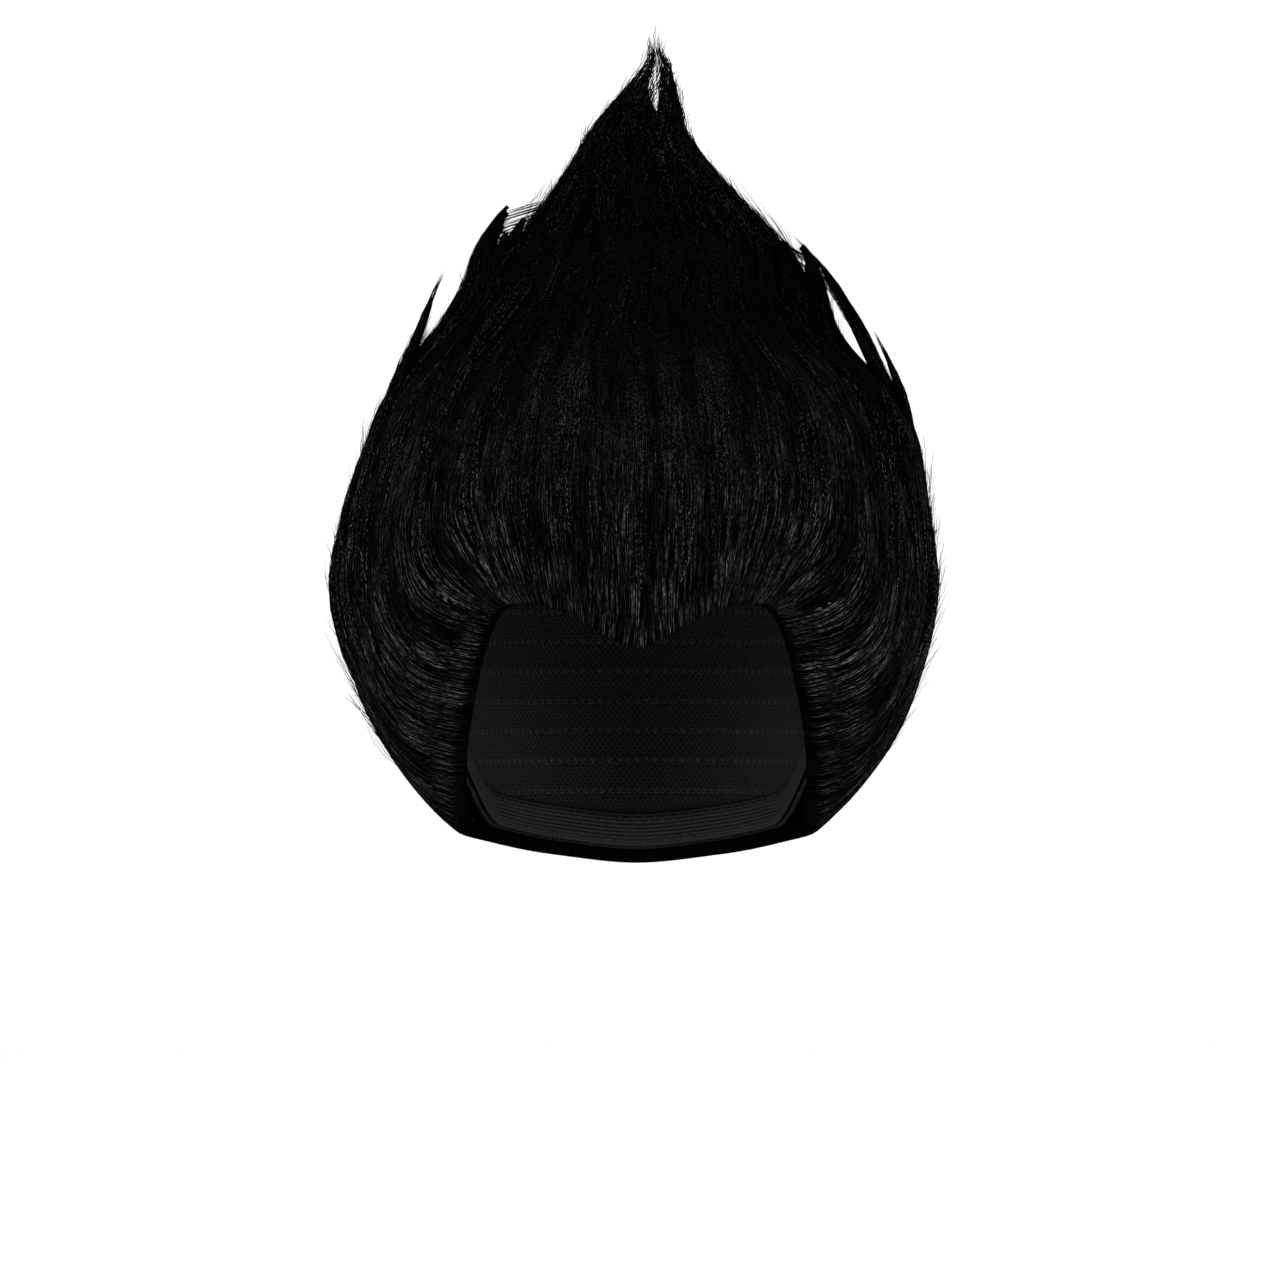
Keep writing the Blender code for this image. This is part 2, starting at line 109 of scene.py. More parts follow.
# %% The hairline, from the point in front (0 degrees) round to the nape (180)
Edge = namedtuple("Edge", "angle level swell")
HAIRLINE = (
    Edge(0.0, -0.537, 0.36),
    Edge(7.1, -0.503, 0.34),
    Edge(12.7, -0.468, 0.32),
    Edge(19.3, -0.437, 0.30),
    Edge(26.2, -0.424, 0.30),
    Edge(33.4, -0.426, 0.30),
    Edge(39.0, -0.440, 0.30),
    Edge(43.0, -0.475, 0.31),
    Edge(47.3, -0.550, 0.33),
    Edge(51.5, -0.635, 0.37),
    Edge(57.0, -0.720, 0.42),
    Edge(62.8, -0.795, 0.48),
    Edge(70.0, -0.880, 0.57),
    Edge(77.4, -0.955, 0.62),
    Edge(87.0, -1.000, 0.67),
    Edge(102.0, -1.020, 0.68),
    Edge(126.0, -1.045, 0.67),
    Edge(155.0, -1.085, 0.65),
    Edge(180.0, -1.108, 0.68),
)
EarRise = namedtuple("EarRise", "angle rise")
EAR = (
    EarRise(0.0, 0.00),
    EarRise(56.0, 0.00),
    EarRise(72.0, 0.13),
    EarRise(91.0, 0.24),
    EarRise(109.0, 0.12),
    EarRise(128.0, 0.00),
    EarRise(180.0, 0.00),
)

# %% The locks of each panel, in turn from its first angle
Lock = namedtuple("Lock", "width tip stand")
Panel = namedtuple("Panel", "first span even locks")
PANELS = {
    "front_hair": Panel(-42.0, 84.0, 0.85, (
        Lock(0.13, 0.56, 0.20), Lock(0.11, 0.52, 0.05), Lock(0.12, 0.59, 0.05), Lock(0.15, 0.56, 0.03),
        Lock(0.13, 0.61, 0.05), Lock(0.11, 0.55, 0.03), Lock(0.12, 0.57, 0.05), Lock(0.13, 0.51, 0.20),
    )),
    "right_hair": Panel(42.0, 96.0, 0.3, (
        Lock(0.13, 0.46, 0.30), Lock(0.14, 0.52, 0.50), Lock(0.16, 0.49, 0.65), Lock(0.14, 0.51, 0.55),
        Lock(0.13, 0.45, 0.55), Lock(0.15, 0.53, 0.45), Lock(0.15, 0.48, 0.35),
    )),
    "back_hair": Panel(138.0, 84.0, 0.2, (
        Lock(0.13, 0.53, 0.30), Lock(0.16, 0.59, 0.40), Lock(0.13, 0.54, 0.25), Lock(0.15, 0.61, 0.40),
        Lock(0.15, 0.56, 0.30), Lock(0.13, 0.60, 0.40), Lock(0.15, 0.54, 0.30),
    )),
    "left_hair": Panel(222.0, 96.0, 0.3, (
        Lock(0.15, 0.54, 0.35), Lock(0.13, 0.59, 0.45), Lock(0.16, 0.55, 0.50), Lock(0.14, 0.62, 0.70),
        Lock(0.14, 0.59, 0.60), Lock(0.13, 0.51, 0.45), Lock(0.15, 0.56, 0.30),
    )),
}
print("locks:", sum(len(panel.locks) for panel in PANELS.values()))


# %% Reading the tables
def smoothstep(share):
    share = np.clip(share, 0.0, 1.0)
    return share * share * (3 - 2 * share)


def read(table, column, at):
    """Smooth values of a column, where the table's first column is at. No value overshoots its rows."""
    keys = np.array([row[0] for row in table])
    values = np.array([getattr(row, column) for row in table])
    steps = np.diff(keys)
    rises = np.diff(values) / steps
    turning = rises[:-1] * rises[1:] <= 0
    slopes = np.zeros(len(keys))
    total = np.where(turning, 1.0, rises[:-1] + rises[1:])
    slopes[1:-1] = np.where(turning, 0.0, 2 * rises[:-1] * rises[1:] / total)
    at = np.clip(at, keys[0], keys[-1])
    i = np.clip(np.searchsorted(keys, at, side="right") - 1, 0, len(steps) - 1)
    s = (at - keys[i]) / steps[i]
    curve = values[i] * (1 - s) ** 2 * (1 + 2 * s) + values[i + 1] * s**2 * (3 - 2 * s)
    return curve + steps[i] * (slopes[i] * s * (1 - s) ** 2 - slopes[i + 1] * s**2 * (1 - s))


def folded(angle):
    angle = np.mod(angle, 360.0)
    return np.minimum(angle, 360.0 - angle)


def hairline(angle):
    return HAIR_DROP * read(HAIRLINE, "level", folded(angle))


def level_of(z):
    return np.where(z > 0, z / HAIR_RISE, z / HAIR_DROP)


print("hairline at the point:", round(float(hairline(0.0)), 4))
print("hairline at the ears:", round(float(hairline(90.0)), 4))


# %% [markdown]
# Every point of the hair is named by an angle and a height. It lies on a level ray from a middle line,
# which is the head's own axis low down and bends into the leaning tip higher up. So a fibre that keeps
# its angle while it climbs runs up the wig and closes in the tip by itself, as combed hair does.

# %% Rays, ovals and the middle line
def middle(z):
    """The middle line at a height."""
    level = level_of(z)
    share = smoothstep((z - 0.030) / 0.060)
    return TIP_LEAN * read(CROWN, "lean", level) * share, TIP_BACK * read(CROWN, "back", level) * share


def way(angle):
    turn = np.radians(angle)
    return np.sin(turn), -np.cos(turn)


def ray(half_x, half_y, centre_x, centre_y, angle):
    """How far a level ray from the origin runs before it leaves an oval."""
    x, y = way(angle)
    near = (x / half_x) ** 2 + (y / half_y) ** 2
    shift = x * centre_x / half_x**2 + y * centre_y / half_y**2
    rest = (centre_x / half_x) ** 2 + (centre_y / half_y) ** 2 - 1
    return (shift + np.sqrt(np.maximum(0.0, shift**2 - near * rest))) / near


def head_reach(angle, z, grow):
    """From the middle line to the head, grown by a wall."""
    mid_x, mid_y = middle(z)
    rise = z + HEAD_DOME
    dome = np.sqrt(np.maximum(1e-6, 1 - (np.maximum(rise, 0.0) / (HEAD_DOME + grow)) ** 2))
    depth = (np.minimum(rise, 0.0) / (HAIR_DROP - HEAD_DOME)) ** 2
    half_x = (HEAD_HALF[0] + grow) * dome * (1 - 0.10 * depth)
    half_y = (HEAD_HALF[1] + grow) * dome * (1 - 0.12 * depth)
    return ray(half_x, half_y, -mid_x, -mid_y, angle)


def oval_reach(table, angle, z, back, grow=0.0):
    """From the middle line to the oval of a table at a height."""
    level = level_of(z)
    mid_x, mid_y = middle(z)
    half_x = HAIR_HALF[0] * read(table, "width", level) + grow
    half_y = HAIR_HALF[1] * read(table, "depth", level) + grow
    centre_x = TIP_LEAN * read(table, "lean", level) - mid_x
    centre_y = back * read(table, "back", level) - mid_y
    return ray(half_x, half_y, centre_x, centre_y, angle)


def crown_reach(angle, z, grow=0.0):
    return oval_reach(CROWN, angle, z, TIP_BACK, grow)


def hair_reach(angle, z):
    """From the middle line to the full outer form, which swells out from the hairline."""
    fold = folded(angle)
    share = np.clip((z - hairline(angle)) / (HAIR_DROP * read(HAIRLINE, "swell", fold)), 0.0, 1.0)
    fuller = 2.0 + 0.8 * smoothstep((fold - 36) / 12) * (1 - smoothstep((fold - 62) / 20))
    swollen = 1 - (1 - share) ** fuller
    edge = head_reach(angle, z, CAP_WALL + CLEARANCE + EDGE_HAIR)
    full = oval_reach(OUTER, angle, z, HAIR_BACK)
    return np.where(swollen > 0.999, full, edge + (full - edge) * swollen)


def backing_reach(angle, z):
    """From the middle line to what a panel lies on: the cap, and above it the hair of the crown."""
    slack = CLEARANCE + 0.0020 * smoothstep((z + 0.076) / 0.048)
    crown = crown_reach(angle, z, slack)
    cap = head_reach(angle, z, CAP_WALL + slack)
    return np.where(z > CAP_WALL, crown, np.maximum(crown, cap))


def place(angle, z, reach):
    """Points from angles, heights and distances from the middle line."""
    mid_x, mid_y = middle(z)
    x, y = way(angle)
    return np.stack(np.broadcast_arrays(mid_x + reach * x, mid_y + reach * y, z), axis=-1)


print("side stands out to", round(float(hair_reach(90.0, -0.05)), 4))


# %% Lock tips and the thinning ends of a panel
def lock_lines(panel, root):
    """For each root angle: where its lock ends, its furrow's share and how far the tip stands."""
    widths = np.array([lock.width for lock in panel.locks])
    ends = panel.first + panel.span * np.cumsum(widths) / widths.sum()
    starts = np.concatenate([[panel.first], ends[:-1]])
    number = np.clip(np.searchsorted(ends, root, side="right"), 0, len(ends) - 1)
    share = np.clip((root - starts[number]) / (ends - starts)[number], 0.0, 1.0)
    tips = np.array([lock.tip for lock in panel.locks])
    beside = np.where(share < 0.5, np.maximum(number - 1, 0), np.minimum(number + 1, len(ends) - 1))
    low = np.minimum(tips[number], tips[beside]) * HAIR_RISE - NOTCH
    ridge = np.sin(np.pi * share)
    top = low + (tips[number] * HAIR_RISE - low) * ridge**1.6
    level = tips.mean() * HAIR_RISE - 0.4 * NOTCH
    ragged = 0.0022 * np.sin(root * 1.7) + 0.0016 * np.sin(root * 4.3 + 1.0) + 0.0010 * np.sin(root * 9.1)
    top = top + (level + ragged - top) * panel.even
    stand = 0.1 + (np.array([lock.stand for lock in panel.locks])[number] - 0.1) * ridge
    inside = np.minimum(root - panel.first, panel.first + panel.span - root)
    furrow = (1 - ridge**0.7) * (1 - 0.8 * panel.even) * np.clip(inside / 5.0, 0.2, 1.0)
    return top, furrow, stand


def panel_reach(panel, root, angle, z):
    """From the middle line to the outer side of a panel."""
    top, furrow, stand = lock_lines(panel, root)
    low = hairline(root)
    share = np.clip((z - low) / (top - low), 0.0, 1.0)
    free = smoothstep((share - 0.80) / 0.20)
    full = hair_reach(angle, z)
    inner = backing_reach(angle, z)
    inner = inner + (full - inner) * stand * free
    depth = GROOVE * 0.55 * furrow * smoothstep(share / 0.22) * (1 - free)
    full = full - np.minimum(depth, 0.4 * (full - inner))
    thin_from = 0.70 - 0.22 * panel.even
    taper = 1 - smoothstep((share - thin_from) / (1 - thin_from)) ** 1.5
    return inner + (full - inner) * taper + LOCK_END * (1 - taper)


# %% [markdown]
# ## Combing
#
# The fibres aren't combed straight up everywhere. At the temples they leave the face almost level, run
# out and back, and then bend up in a long C. So a fibre's angle drifts towards the back while it is low
# and comes home again higher up, most of all at the temples, and not at all in front or at the nape.

# %% Where a fibre's angle is at each share of its height
DRIFT = 14.0


def combed(root, share):
    """The angle of a fibre, from the angle of its root and the share of its way up."""
    fold = folded(root)
    side = np.where(np.mod(root, 360.0) < 180.0, 1.0, -1.0)
    most = smoothstep((fold - 12.0) / 46.0) * (1 - smoothstep((fold - 82.0) / 60.0))
    return root + side * DRIFT * most * np.sin(np.pi * np.clip(share, 0.0, 1.0) ** 0.6)


print("drift at the temple:", round(float(combed(60.0, 0.3)) - 60.0, 1), "degrees")

# %% [markdown]
# ## The mass of each panel
#
# Under the loose fibres each panel is a dense mass. It starts as a flat grid. The grid's columns become
# fibres' paths and its rows become heights, and a relief of strands is laid along the columns. The first
# rows lie on the skin and roll outwards, so that no cut edge shows at the hairline. Solidify then gives
# it a wall. Combing a grid keeps the relief and the texture running with the fibres, which a remeshed or
# sculpted form would not.

# %% Ribs that run with the fibres
HAIR_RING = 0.105


def ribs(across, along, pitch, wander, seed):
    """Waves across the fibres, -1 to 1, that shift as they run along them."""
    turns = np.random.default_rng(seed).uniform(0, math.tau, 6)
    slow = np.sin(along / 0.045 + turns[0] + 2 * np.sin(across / 0.031 + turns[1]))
    slow = slow + 0.6 * np.sin(along / 0.017 + turns[2] + across / 0.013)
    x = across / pitch + wander * slow
    wave = np.sin(math.tau * x + turns[3]) + 0.6 * np.sin(math.tau * 1.618 * x + turns[4])
    return (wave + 0.4 * np.sin(math.tau * 2.618 * x + turns[5])) / 2


def relief(root, z):
    """How far strands stand out, in metres."""
    across = np.radians(root) * HAIR_RING
    strands = 0.00085 * ribs(across, z, 0.0150, 0.10, 30)
    return strands + 0.00040 * ribs(across, z, 0.0068, 0.12, 31)


# %% A grid bent into a combed sheet
def flat_grid(columns, rows):
    """A flat grid and, for each of its points, the shares 0 to 1 across and up."""
    bm = bmesh.new()
    bmesh.ops.create_grid(bm, x_segments=columns, y_segments=rows, size=1.0)
    shares = np.array([(vert.co.x, vert.co.y) for vert in bm.verts]) / 2 + 0.5
    return bm, shares[:, 0], shares[:, 1]


def combed_lengths(points, columns, rows):
    """Distances across and along the fibres, for the points of a bent grid."""
    sheet = points.reshape(rows + 1, columns + 1, 3)
    steps = np.linalg.norm(np.diff(sheet, axis=0), axis=2)
    gaps = np.linalg.norm(np.diff(sheet, axis=1), axis=2)[: rows // 2].mean(axis=0)
    along = np.concatenate([np.zeros((1, columns + 1)), np.cumsum(steps, axis=0)])
    across = np.concatenate([[0.0], np.cumsum(gaps)]) + np.zeros_like(along)
    return across.ravel(), along.ravel()


def bend(bm, points, across, along, name):
    """Moves the grid's points to their places and keeps the combed distances as a UV map."""
    layer = bm.loops.layers.uv.new(name)
    for vert, point in zip(bm.verts, points):
        vert.co = point
    for face in bm.faces:
        for loop in face.loops:
            loop[layer].uv = (across[loop.vert.index], along[loop.vert.index])


def finished(bm, name, material, body="root"):
    """A shown piece from a bmesh."""
    mesh = bpy.data.meshes.new(name)
    bm.to_mesh(mesh)
    bm.free()
    mesh.shade_smooth()
    mesh.materials.append(material)
    piece = bpy.data.objects.new(name, mesh)
    bpy.context.scene.collection.objects.link(piece)
    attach(piece, body)
    print(name, len(mesh.vertices), "points,", sum(len(p.vertices) - 2 for p in mesh.polygons), "triangles")
    return piece


# %% [markdown]
# ## Shader sums
#
# A finish is a sum of patterns. The class below wraps one socket of a node tree, so that `a * 2 + b`
# adds the Math nodes, and `finish.node` makes any other node from its type, settings and inputs.

# %% A small language for materials
class Signal:
    """A number that changes over the surface."""

    def __init__(self, finish, socket):
        self.finish = finish
        self.socket = socket

    def math(self, operation, *others):
        node = self.finish.tree.nodes.new("ShaderNodeMath")
        node.operation = operation
        for socket, value in zip(node.inputs, others):
            self.finish.feed(socket, value)
        return Signal(self.finish, node.outputs[0])

    def __add__(self, other):
        return self.math("ADD", self, other)

    def __radd__(self, other):
        return self.math("ADD", other, self)

    def __sub__(self, other):
        return self.math("SUBTRACT", self, other)

    def __rsub__(self, other):
        return self.math("SUBTRACT", other, self)

    def __mul__(self, other):
        return self.math("MULTIPLY", self, other)

    def __rmul__(self, other):
        return self.math("MULTIPLY", other, self)

    def __truediv__(self, other):
        return self.math("DIVIDE", self, other)

    def sine(self):
        return self.math("SINE", self)

    def size(self):
        return self.math("ABSOLUTE", self)

    def clamped(self):
        return self.math("MINIMUM", self.math("MAXIMUM", self, 0.0), 1.0)


class Finish:
    """A material with one Principled shader."""

    def __init__(self, name):
        self.material = bpy.data.materials.new(name)
        self.material.use_nodes = True
        self.tree = self.material.node_tree
        self.shader = self.tree.nodes["Principled BSDF"]

    def feed(self, socket, value):
        if isinstance(value, Signal):
            self.tree.links.new(value.socket, socket)
        else:
            socket.default_value = value

    def node(self, kind, settings=None, inputs=None, output=0):
        node = self.tree.nodes.new(kind)
        for name, value in (settings or {}).items():
            setattr(node, name, value)
        for name, value in (inputs or {}).items():
            self.feed(node.inputs[name], value)
        return Signal(self, node.outputs[output])

    def parts(self, vector):
        node = self.tree.nodes.new("ShaderNodeSeparateXYZ")
        self.feed(node.inputs[0], vector)
        return [Signal(self, socket) for socket in node.outputs]

    def vector(self, x, y, z=0.0):
        return self.node("ShaderNodeCombineXYZ", inputs={0: x, 1: y, 2: z})

    def noise(self, vector, scale, detail):
        inputs = {"Vector": vector, "Scale": scale, "Detail": detail, "Roughness": 0.5}
        return self.node("ShaderNodeTexNoise", {"noise_dimensions": "3D"}, inputs)

    def shades(self, share, dark, light):
        inputs = {0: share, 6: (*dark, 1.0), 7: (*light, 1.0)}
        return self.node("ShaderNodeMix", {"data_type": "RGBA"}, inputs, output=2)

    def bump(self, height, distance, strength=1.0):
        inputs = {"Height": height, "Distance": distance, "Strength": strength}
        return self.node("ShaderNodeBump", inputs=inputs)

    def wear(self, **sockets):
        for name, value in sockets.items():
            self.feed(self.shader.inputs[name.replace("_", " ")], value)
        return self.material


# %% [markdown]
# ## The finish of the fibre
#
# The fibre is matt black, crimped about every five millimetres and teased. Light catches the tops of the
# crimps, and that light is painted into the colour as highlights, since the shader gives no shine. In front
# and in the tip the painted highlights are small pale specks, and over the ears, where the fibre is longer,
# pale streaks that follow the combing. They are painted stronger low down and fainter towards the top, and
# a painted shade takes them out right at the skin. The strands are a noise stretched along the combing,
# which a sine sways for the crimp. A second noise breaks them up, and a slow third one groups them in
# lighter and darker locks.

# %% Dense fibre, on the combed UV map
FIBRE_DARK = (0.0004, 0.0004, 0.0005)
# the colour of the painted highlights where light catches the crimps
FIBRE_HIGHLIGHT = (0.180, 0.175, 0.176)
CRIMP = 0.0047
SPECKS = 1500.0
LIT_BELOW = 0.045
SKIN_SHADE = 0.0062


def dense_fibre(name):
    finish = Finish(name)
    across, along, _ = finish.parts(finish.node("ShaderNodeUVMap", {"uv_map": "combed"}))
    spot = finish.node("ShaderNodeTexCoord", output=3)
    sideways, _, height = finish.parts(spot)
    beside = ((sideways.size() - 0.040) * 30.0).clamped()
    wander = finish.noise(finish.vector(across * 90.0, along * 30.0), 1.0, 1.0)
    crimp = (along * (math.tau / CRIMP) + wander * 40.0).sine()
    swayed = across + wander * 0.0030 + crimp * 0.00007
    strands = finish.noise(finish.vector(swayed * 2200.0, along * 60.0), 1.0, 1.0)
    breaks = finish.noise(finish.vector(swayed * 1400.0, along * 430.0, 4.0), 1.0, 1.0)
    patches = finish.noise(finish.vector(across * 95.0, along * 15.0, 9.0), 1.0, 1.0)
    specks = finish.noise(spot, SPECKS, 1.0)
    # painted light and shade: the highlights are painted strong low down and faint towards the top
    low = ((LIT_BELOW - height) * 8.0).clamped() * 0.93 + 0.07
    # painted shade: the first few millimetres from the skin are darkened
    edge = ((along - SKIN_SHADE) * 260.0).clamped() * 0.93 + 0.07
    lines = ((strands - 0.51) * 5.0).clamped() * (((breaks - 0.44) * 4.0).clamped() * 0.85 + 0.15)
    dots = ((specks - 0.55) * 6.0).clamped()
    high = ((height + 0.035) * 12.0).clamped() * (1.0 - beside * 0.5) * 0.8
    # painted highlights: streaks lower down and at the sides, specks higher up
    painted_highlight = lines + (dots - lines) * high
    locks = ((patches - 0.34) * 2.6).clamped() * 0.85 + 0.15
    share = (painted_highlight * locks * low * edge * 0.62).clamped()
    raised = strands * 0.7 + breaks * 0.2 + specks * 0.25
    return finish.wear(
        Base_Color=finish.shades(share, FIBRE_DARK, FIBRE_HIGHLIGHT),
        Roughness=0.70 - share * 0.25,
        Normal=finish.bump(raised, 0.0010, 0.9),
        Specular_IOR_Level=0.0,
    )


# %% Loose fibres: painted glints on object coordinates and a tone for each fibre
def loose_fibre(name):
    finish = Finish(name)
    spot = finish.node("ShaderNodeTexCoord", output=3)
    _, _, height = finish.parts(spot)
    tone = finish.node("ShaderNodeAttribute", {"attribute_name": "tone"}, output=2)
    # painted glints along each fibre, in the colour of the painted highlights
    glints = finish.noise(spot, 900.0, 1.0)
    # painted light and shade: the glints are painted stronger low down and fainter towards the top
    low = ((LIT_BELOW - height) * 8.0).clamped() * 0.76 + 0.24
    share = (((glints - 0.48) * 5.0).clamped() * tone * low * 0.8).clamped()
    return finish.wear(
        Base_Color=finish.shades(share, FIBRE_DARK, FIBRE_HIGHLIGHT),
        Roughness=0.55,
        Specular_IOR_Level=0.0,
    )


DENSE = dense_fibre("dense_fibre")
LOOSE = loose_fibre("loose_fibre")
print("finishes:", DENSE.name, LOOSE.name)

# %% Four panels of dense hair
MASS_WALL = 0.0016
COLUMNS_PER_DEGREE = 1.0
MASS_ROWS = 72
ROLL = 5 / MASS_ROWS
LAP = 0.7
UNDERCUT = 0.0035
SKIN_GAP = 0.0004
SUNK = 0.0012


def panel_mass(node):
    panel = PANELS[node]
    columns = round(panel.span * COLUMNS_PER_DEGREE)
    bm, across, up = flat_grid(columns, MASS_ROWS)
    root = panel.first - LAP + (panel.span + 2 * LAP) * across
    top = lock_lines(panel, root)[0]
    low = hairline(root)
    climbed = np.clip((up - ROLL) / (1 - ROLL), 0.0, 1.0)
    z = low + (top - low) * climbed
    angle = combed(root, climbed)
    fade = smoothstep(climbed / 0.10) * (1 - smoothstep((climbed - 0.85) / 0.15))
    signed = root - (360.0 if panel.first > 200 else 0.0)
    reach = panel_reach(panel, root, angle, z) - SUNK * fade
    reach = reach + relief(signed, z) * (0.25 + 0.75 * fade)
    reach = np.maximum(reach, backing_reach(angle, z) + MASS_WALL + 0.0002)
    rolled = np.clip(up / ROLL, 0.0, 1.0)
    z = z + UNDERCUT * (1 - np.minimum(1.0, 2 * rolled)) ** 2
    skin = head_reach(angle, z, SKIN_GAP)
    reach = skin + (reach - skin) * smoothstep((rolled - 0.35) / 0.65)
    points = place(angle, z, reach)
    bend(bm, points, *combed_lengths(points, columns, MASS_ROWS), "combed")
    bmesh.ops.recalc_face_normals(bm, faces=bm.faces)
    bmesh.ops.solidify(bm, geom=list(bm.faces), thickness=MASS_WALL)
    piece = finished(bm, node.replace("hair", "mass"), DENSE)
    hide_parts(node)


for name in PANELS:
    panel_mass(name)

# %% [markdown]
# ## The crown
#
# The hair on the crown stands up inside the panels and narrows to the tip. Its grid goes all the way
# round, so its first and last columns are merged, and both open ends are closed with a cap of faces.

# %% The standing hair, which ends a little below the wisps of the tip
MASS_FOOT = 0.0035
MASS_CLOSES = 0.118
MASS_TOP = 0.148
TIP_SHIFT = 0.0038
CROWN_RING = 0.05


def crown_mass():
    bm, across, up = flat_grid(216, 84)
    root = 360.0 * across
    z = MASS_FOOT + (MASS_TOP - MASS_FOOT) * up
    turned = np.radians(root)
    swell = 0.0011 * np.sin(11 * turned + 3 * up)
    swell = swell + 0.0007 * np.sin(29 * turned - 4 * up + 2 * np.sin(3 * turned))
    swell = swell + 0.0003 * np.sin(83 * turned + 9 * up)
    reach = crown_reach(root, z)
    sunk = 0.0008 + SUNK * smoothstep((z - 0.060) / 0.030)
    reach = reach - sunk + swell * np.minimum(1.0, reach / 0.03)
    closing = np.clip((z - MASS_CLOSES) / (MASS_TOP - MASS_CLOSES), 0.0, 1.0)
    points = place(root, z, np.maximum(reach * (1 - closing) ** 0.65, 0.0004))
    points[:, 0] -= TIP_SHIFT * smoothstep(2 * closing)
    bend(bm, points, turned * CROWN_RING, z, "combed")
    bmesh.ops.remove_doubles(bm, verts=bm.verts, dist=1e-6)
    bmesh.ops.holes_fill(bm, edges=bm.edges)
    bmesh.ops.recalc_face_normals(bm, faces=bm.faces)
    piece = finished(bm, "crown_mass", DENSE)
    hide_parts("crown_hair")


crown_mass()

# %% [markdown]
# ## Loose fibres
#
# What makes hair read as hair is its edge: fibres that stray out of the mass. Each is a thin closed
# tube of three sides that follows the combing for a few centimetres, kinked by the crimp. Thousands of
# them are worked out together as arrays and joined in one mesh for each panel, because one operator
# call for each fibre would take minutes. Their ends are points, so no fibre needs an end face.

# %% How far out the hair reaches, for every angle and height
FIELD_ANGLES = np.arange(0.0, 361.0, 1.0)
FIELD_HEIGHTS = np.arange(-0.190, 0.190, 0.001)


def panel_of(angle):
    """The panel that holds an angle, and the angle as that panel counts it."""
    for node, panel in PANELS.items():
        at = panel.first + np.mod(angle - panel.first, 360.0)
        if at < panel.first + panel.span:
            return node, at
    return "front_hair", angle


def outer_field():
    field = np.zeros((len(FIELD_ANGLES), len(FIELD_HEIGHTS)))
    for row, angle in enumerate(FIELD_ANGLES):
        node, at = panel_of(angle)
        panel = PANELS[node]
        reach = panel_reach(panel, np.array([at]), angle, FIELD_HEIGHTS)
        top = lock_lines(panel, np.array([at]))[0]
        crown_only = crown_reach(angle, FIELD_HEIGHTS)
        field[row] = np.where(FIELD_HEIGHTS < top, reach, crown_only)
        field[row] = np.maximum(field[row], np.where(FIELD_HEIGHTS > 0, crown_only, 0.0))
    return field


FIELD = outer_field()


def field_reach(angle, z):
    """The hair's reach between the rows of the field."""
    at = np.mod(angle, 360.0)
    i = np.clip(at.astype(int), 0, 359)
    j = np.clip(((z - FIELD_HEIGHTS[0]) / 0.001).astype(int), 0, len(FIELD_HEIGHTS) - 2)
    a = np.clip(at - i, 0.0, 1.0)
    b = np.clip((z - FIELD_HEIGHTS[j]) / 0.001, 0.0, 1.0)
    low = FIELD[i, j] * (1 - a) + FIELD[i + 1, j] * a
    high = FIELD[i, j + 1] * (1 - a) + FIELD[i + 1, j + 1] * a
    return low * (1 - b) + high * b


print("widest reach", round(float(FIELD.max()), 4))

# %% Thin tubes from rows of points
KNOTS = 10


